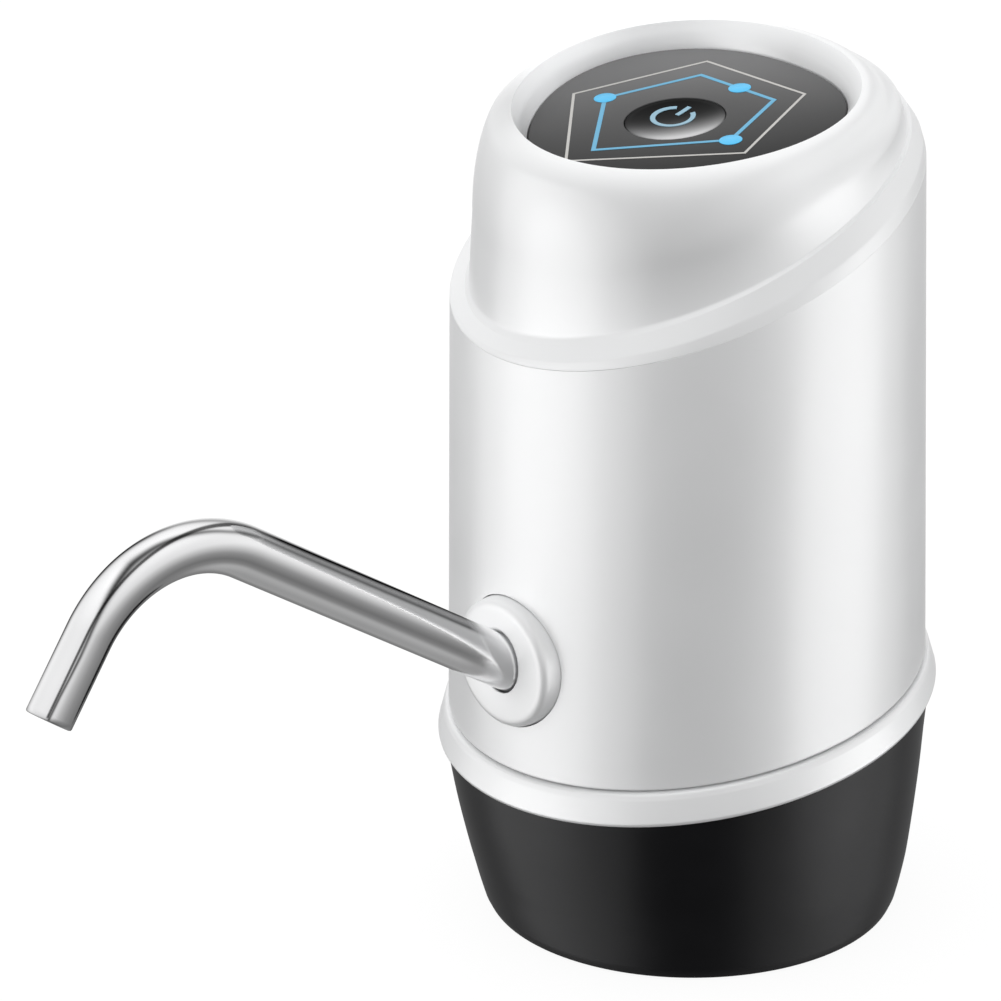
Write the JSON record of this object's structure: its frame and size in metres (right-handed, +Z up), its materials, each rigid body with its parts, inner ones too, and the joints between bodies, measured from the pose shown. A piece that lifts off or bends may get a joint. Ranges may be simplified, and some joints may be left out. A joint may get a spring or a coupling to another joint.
{
  "type": "bottled water pump",
  "caption": "Battery-driven pump that stands on the neck of a large water bottle, with a push button on a sloping top, a bent steel spout and a socket underneath for the neck.",
  "frame": {"origin": "on the surface that the base stands on, under the middle of the whole object's box; the pump's own vertical axis is 42.1 mm from it towards +Y", "axes": "+Z up, -Y towards the spout's tip, +Y towards the charging socket, X across"},
  "size_m": [0.0798, 0.164, 0.1385],
  "materials": {
    "white_plastic": "glossy moulded white",
    "black_plastic": "glossy moulded black",
    "panel_plastic": "dark grey, smooth, with printed lines",
    "button_plastic": "glossy black, dished",
    "frame_plastic": "plain moulded grey",
    "steel": "polished stainless steel",
    "motor_steel": "plated sheet steel",
    "silicone": "translucent soft silicone",
    "rubber": "matt black rubber",
    "circuit_green": "green solder mask",
    "cell_wrap": "blue shrink wrap over a metal can",
    "contact_metal": "plated spring brass",
    "diffuser": "milky light guide",
    "led_resin": "clear blue resin",
    "red_wire": "red wire insulation",
    "black_wire": "black wire insulation"
  },
  "bodies": {
    "housing": {"base_cup": "black_plastic", "base_ring": "white_plastic", "base_screw_1": "motor_steel", "base_screw_2": "motor_steel", "base_screw_3": "motor_steel", "battery_cell": "cell_wrap", "battery_cradle": "frame_plastic", "battery_tab_low": "contact_metal", "battery_tab_top": "contact_metal", "battery_wire_black": "black_wire", "battery_wire_red": "red_wire", "board_screw_1": "motor_steel", "board_screw_2": "motor_steel", "board_screw_3": "motor_steel", "body_shell": "white_plastic", "charge_board": "circuit_green", "charge_screw_1": "motor_steel", "charge_screw_2": "motor_steel", "charge_socket": "steel", "charge_wire_black": "black_wire", "charge_wire_red": "red_wire", "chassis": "frame_plastic", "circuit_board": "circuit_green", "control_panel": "panel_plastic", "diaphragm": "rubber", "led_1": "led_resin", "led_2": "led_resin", "led_3": "led_resin", "light_guide": "diffuser", "motor_can": "motor_steel", "motor_end_bell": "black_plastic", "motor_terminal_1": "contact_metal", "motor_terminal_2": "contact_metal", "motor_wire_black": "black_wire", "motor_wire_red": "red_wire", "neck_gasket": "silicone", "neck_socket": "black_plastic", "outlet_hose": "silicone", "pump_case": "frame_plastic", "pump_cover": "frame_plastic", "pump_screw_1": "motor_steel", "pump_screw_2": "motor_steel", "pump_screw_3": "motor_steel", "spout_boss": "white_plastic", "tact_switch": "rubber", "top_cap": "white_plastic", "valve_plate": "frame_plastic", "wobble_plate": "white_plastic"},
    "button": {"power_button": "button_plastic", "switch_plunger": "button_plastic"},
    "rotor": {"motor_shaft": "steel", "crank": "white_plastic"},
    "seal": {"spout_seal": "rubber"},
    "spout_tube": {"spout": "steel"}
  },
  "joints": [
    {"name": "button_press", "type": "slide", "parent": "housing", "child": "button", "axis": [-0.0541, 0.1768, -0.9828], "range_m": [0, 0.0008], "stiffness_N_per_m": 1500, "springref_m": -0.0004},
    {"name": "rotor_spin", "type": "hinge", "parent": "housing", "child": "rotor", "pos_m": [0, 0.04211, 0.055], "axis": [0, 0, 1], "continuous": true},
    {"name": "spout_turn", "type": "hinge", "parent": "housing", "child": "seal", "pos_m": [0, 0.00251, 0.05108], "axis": [0, -0.8425, 0.5388], "continuous": true},
    {"name": "spout_pull", "type": "slide", "parent": "seal", "child": "spout_tube", "axis": [0, -0.8425, 0.5388], "range_m": [0, 0.018]}
  ]
}
